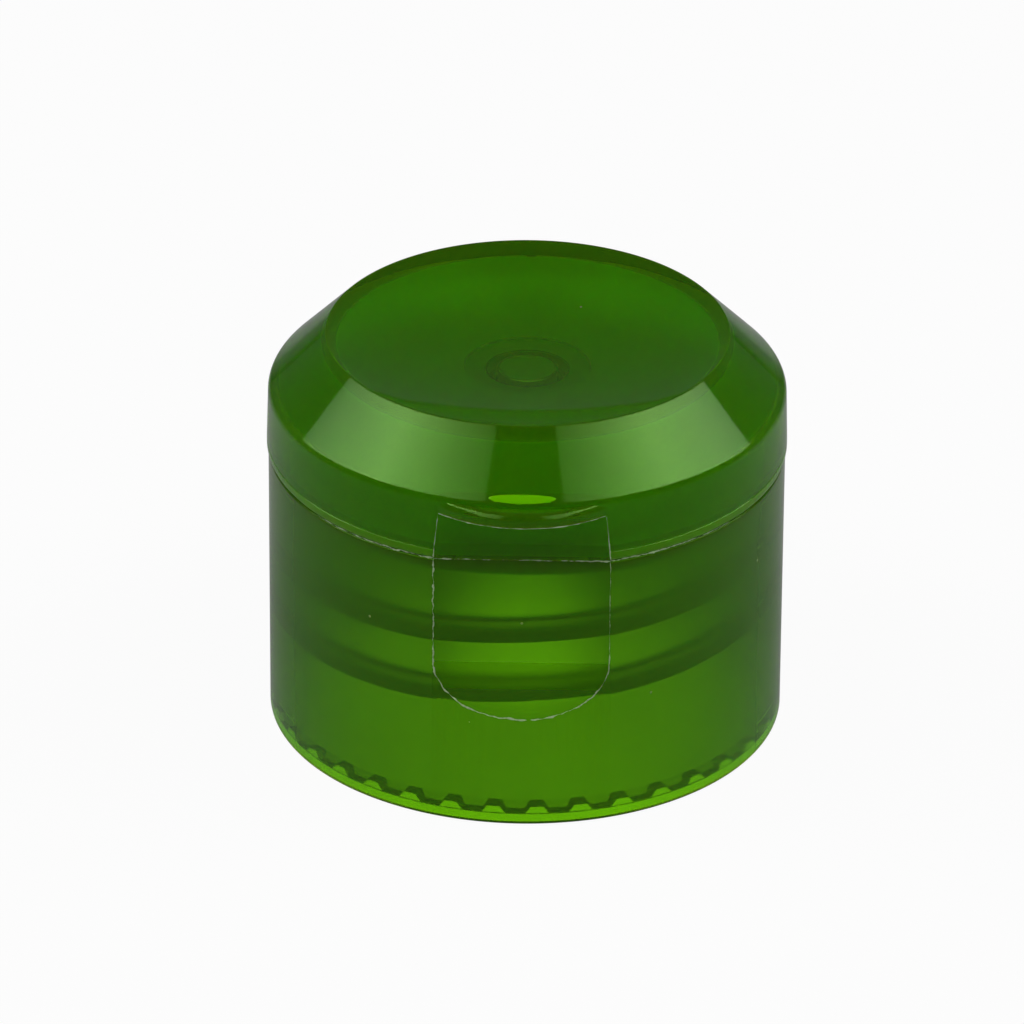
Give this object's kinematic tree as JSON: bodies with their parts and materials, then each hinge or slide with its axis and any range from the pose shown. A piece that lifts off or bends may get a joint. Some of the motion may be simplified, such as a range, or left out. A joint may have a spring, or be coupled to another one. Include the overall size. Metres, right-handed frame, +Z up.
{
  "type": "flip top cap",
  "caption": "Translucent green flip top cap with a dished, chamfered lid, thumb recess, plug and nozzle, living hinge and internal neck thread.",
  "frame": {"origin": "on the cap's axis, at the open bottom rim that it stands on", "axes": "+Z up along the cap's axis, -Y towards the thumb lip, +Y towards the hinge, +X to the right seen from the thumb side"},
  "size_m": [0.033, 0.0342, 0.0265],
  "materials": {
    "base_plastic": "translucent moulded polypropylene, satin",
    "lid_plastic": "translucent moulded polypropylene, satin",
    "hinge_plastic": "thin translucent polypropylene film"
  },
  "bodies": {
    "base": {"base": "base_plastic", "hinge_web_left": "hinge_plastic", "hinge_web_right": "hinge_plastic", "snap_strap": "hinge_plastic"},
    "lid": {"lid": "lid_plastic"}
  },
  "joints": [
    {"name": "lid_hinge", "type": "hinge", "parent": "base", "child": "lid", "pos_m": [0, 0.0164, 0.01855], "axis": [-1, 0, 0], "range_deg": [0, 175], "deforming": ["hinge_web_left", "hinge_web_right", "snap_strap"]}
  ]
}
